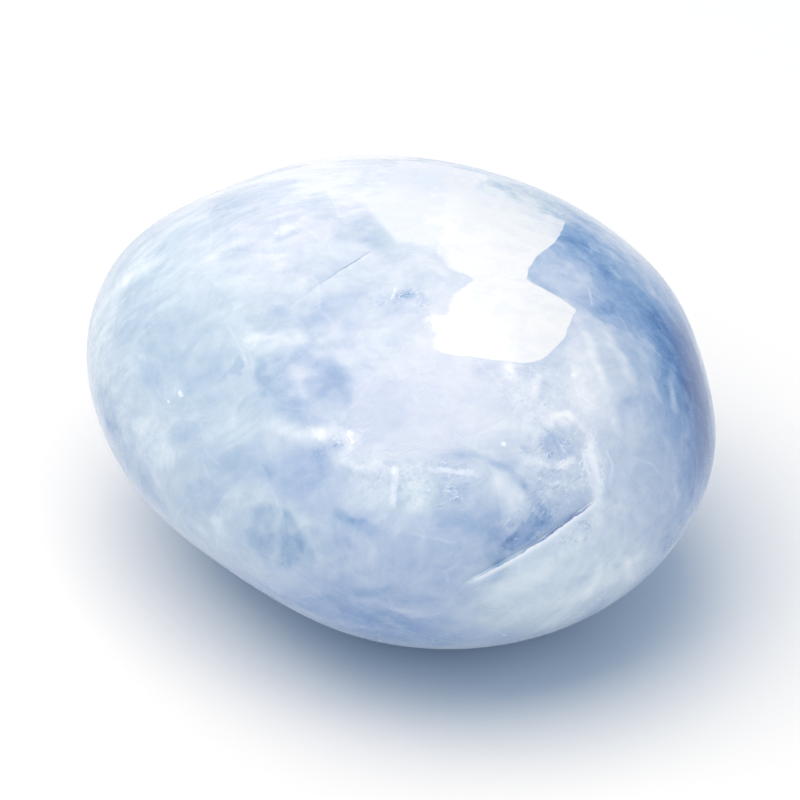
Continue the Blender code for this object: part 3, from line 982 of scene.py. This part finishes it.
def drawWhite(tree, drawn, pattern):
    # seams that wander and break off, white flecks and painted glints, and thin seams between some of the
    # crystals
    look = calciteLook
    links = {0: pattern["grain"], 1: look["seamWander"], 2: drawn["seamAcross"]}
    wander = addNode(tree, "Math", multiplyAdd, links)
    wander = addNode(tree, "Math", {"operation": "SUBTRACT"}, {0: wander, 1: look["seamWander"] / 2})
    wander = addNode(tree, "Math", {"operation": "ABSOLUTE"}, {0: wander})
    smoother = {"interpolation_type": "SMOOTHERSTEP"}
    line = addNode(tree, "MapRange", smoother, {"Value": wander, **look["seamEdge"]})
    broken = addNode(tree, "MapRange", {}, {"Value": pattern["mottle"], **look["seamBreaks"]})
    line = addNode(tree, "Math", multiply, {0: line, 1: broken})
    seams = addNode(tree, "Math", multiply, {0: line, 1: drawn["seamStrength"]})
    links = {0: pattern["grain"], 1: look["fleckNicks"], 2: drawn["flecks"]}
    flecks = addNode(tree, "Math", multiplyAdd, links)
    flecks = addNode(tree, "MapRange", smooth, {"Value": flecks, **look["fleckEdge"]})
    thin = addNode(tree, "MapRange", smooth, {"Value": pattern["border"], **look["borderEdge"]})
    some = addNode(tree, "MapRange", smooth, {"Value": pattern["wisp"], **look["borderWisps"]})
    thin = addNode(tree, "Math", multiply, {0: thin, 1: some})
    white = addNode(tree, "Math", {"operation": "MAXIMUM"}, {0: seams, 1: flecks})
    return addNode(tree, "Math", {"operation": "MAXIMUM"}, {0: white, 1: thin})


def polishedBlueCalcite():
    look = calciteLook
    material = bpy.data.materials.new("tumbledPolishedBlueCalcite")
    material.use_nodes = True
    tree = material.node_tree
    shader = tree.nodes["Principled BSDF"]
    drawn = {name: addNode(tree, "Attribute", {"attribute_name": name}, {}, "Fac") for name in (
        "drawn", "tone", "ice", "busy", "rimTop", "rimRight", "facet", "facetTone", "plate", "veil", "flash",
        "flecks", "seamAcross", "seamStrength", "crackAcross", "crackPale", "crackDark")}
    pattern = layPatterns(tree)
    wavyLines = drawWavyLines(tree, drawn, pattern)
    tone = deepenBlue(tree, drawn, pattern)
    tone = addNode(tree, "Math", {"operation": "ADD"}, {0: tone, 1: wavyLines["deep"]})
    colour = tintBlue(tree, drawn, pattern, tone)
    colour = layMilk(tree, drawn, pattern, colour)
    colour = inkCracks(tree, drawn, pattern, colour)
    white = drawWhite(tree, drawn, pattern)
    white = addNode(tree, "Math", {"operation": "MAXIMUM"}, {0: white, 1: wavyLines["pale"]})
    more, everywhere = look["scratchCover"]
    faint = addNode(tree, "Math", multiplyAdd, {0: drawn["busy"], 1: more, 2: everywhere})
    faint = addNode(tree, "Math", multiply, {0: pattern["scratch"], 1: faint})
    for cover in (white, faint):
        colour = addNode(tree, "Mix", colours, {0: cover, 6: colour, 7: linearColour(look["white"])}, 2)
    tree.links.new(colour, shader.inputs["Base Color"])

    links = {0: pattern["mottle"], 1: look["mottleRoughness"], 2: look["roughness"]}
    rough = addNode(tree, "Math", multiplyAdd, links)
    rough = addNode(tree, "Math", multiplyAdd, {0: pattern["scratch"], 1: look["scratchRoughness"], 2: rough})
    tree.links.new(rough, shader.inputs["Roughness"])
    links = {0: pattern["scratch"], 1: look["scratchHeight"], 2: pattern["swell"]}
    relief = addNode(tree, "Math", multiplyAdd, links)
    relief = addNode(tree, "Math", multiplyAdd, {0: pattern["grain"], 1: look["grainHeight"], 2: relief})
    bump = addNode(tree, "Bump", {}, {"Strength": 1.0, "Distance": look["bumpHeight"], "Height": relief})
    tree.links.new(bump, shader.inputs["Normal"])
    for name, value in look["skin"].items():
        shader.inputs[name].default_value = value
    return material


stone = shapeStone()
print("stone shaped:", len(stone.data.polygons), "faces")
markStone(stone)
stone.data.materials.append(polishedBlueCalcite())
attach(stone, "root")
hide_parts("stone")
print("stone marked and polished")


# Studio: a white floor, a softly warm softbox and a cool dome that is bluer towards the horizon

studio = {
    "floorWidth": 6.0,
    "floorColour": "#ececec",
    "floorRoughness": 0.9,
    "floorSpecular": 0.1,
    "backdropColour": "#f4f6f8",
    "keyWidth": 1.0,
    "keyPlace": (-0.20, 0.08, 0.97),  # right, towards the camera and up from the stone
    "keyPower": 10.3,
    "keyColour": "#ffe8c6",
    "zenithColour": "#c1d8f1",
    "horizonColour": "#56a0da",
    # where the dome turns from horizon to zenith, as the sine of its height
    "domeRise": {"From Min": 0.0, "From Max": 0.50},
    # how it dims towards the right, away from the softbox
    "domeShade": {"From Min": -0.2, "From Max": 0.9, "To Min": 1.0, "To Max": 0.75},
}


def layFloor():
    bm = bmesh.new()
    bmesh.ops.create_grid(bm, x_segments=1, y_segments=1, size=studio["floorWidth"] / 2)
    mesh = bpy.data.meshes.new("floor")
    bm.to_mesh(mesh)
    bm.free()
    floor = bpy.data.objects.new("floor", mesh)
    bpy.context.scene.collection.objects.link(floor)
    material = bpy.data.materials.new("mattWhitePaper")
    material.use_nodes = True
    shader = material.node_tree.nodes["Principled BSDF"]
    shader.inputs["Base Color"].default_value = linearColour(studio["floorColour"])
    shader.inputs["Roughness"].default_value = studio["floorRoughness"]
    shader.inputs["Specular IOR Level"].default_value = studio["floorSpecular"]
    mesh.materials.append(material)


def hangSoftbox(right, up, back):
    middle = (stoneLow + stoneHigh) / 2
    across, towards, above = studio["keyPlace"]
    light = bpy.data.lights.new("softbox", "AREA")
    light.shape = "SQUARE"
    light.size = studio["keyWidth"]
    light.energy = studio["keyPower"]
    light.color = linearColour(studio["keyColour"])[:3]
    lamp = bpy.data.objects.new("softbox", light)
    lamp.location = middle + right * across + back * towards + up * above
    lamp.rotation_mode = "QUATERNION"
    lamp.rotation_quaternion = (middle - lamp.location).to_track_quat("-Z", "Y")
    bpy.context.scene.collection.objects.link(lamp)


def lightStudio():
    right, up, back = viewAxes(photoView["azimuth"], 0)
    hangSoftbox(right, up, back)
    world = bpy.data.worlds.new("studio")
    bpy.context.scene.world = world
    world.use_nodes = True
    tree = world.node_tree
    direction = addNode(tree, "TexCoord", {}, {}, "Generated")
    height = addNode(tree, "SeparateXYZ", {}, {0: direction}, "Z")
    rise = addNode(tree, "MapRange", smooth, {"Value": height, **studio["domeRise"]})
    horizon, zenith = linearColour(studio["horizonColour"]), linearColour(studio["zenithColour"])
    glow = addNode(tree, "Mix", colours, {0: rise, 6: horizon, 7: zenith}, 2)
    rightward = addNode(tree, "VectorMath", {"operation": "DOT_PRODUCT"}, {0: direction, 1: right}, "Value")
    strength = addNode(tree, "MapRange", smooth, {"Value": rightward, **studio["domeShade"]})
    dome = addNode(tree, "Background", {}, {"Color": glow, "Strength": strength})
    backdrop = addNode(tree, "Background", {}, {"Color": linearColour(studio["backdropColour"])})
    fromCamera = addNode(tree, "LightPath", {}, {}, "Is Camera Ray")
    mixed = addNode(tree, "MixShader", {}, {0: fromCamera, 1: dome, 2: backdrop})
    tree.links.new(mixed, tree.nodes["World Output"].inputs["Surface"])


def setCamera():
    right, up, back = viewAxes(photoView["azimuth"], photoView["elevation"])
    points = [vert.co for vert in stone.data.vertices]
    middle = Vector((0, 0, 0))
    for axis in (right, up, back):
        along = [point.dot(axis) for point in points]
        middle += axis * (min(along) + max(along)) / 2
    data = bpy.data.cameras.new("photoCamera")
    data.sensor_width = photoView["sensorWidth"]
    data.lens = data.sensor_width * photoView["distance"] / photoView["frameWidth"]
    data.clip_start, data.clip_end = photoView["clip"]
    camera = bpy.data.objects.new("photoCamera", data)
    camera.location = middle + back * photoView["distance"]
    camera.rotation_mode = "QUATERNION"
    camera.rotation_quaternion = (-back).to_track_quat("-Z", "Y")
    bpy.context.scene.collection.objects.link(camera)
    bpy.context.scene.camera = camera


layFloor()
lightStudio()
setCamera()
bpy.context.scene.view_settings.view_transform = "Standard"
print("studio set")
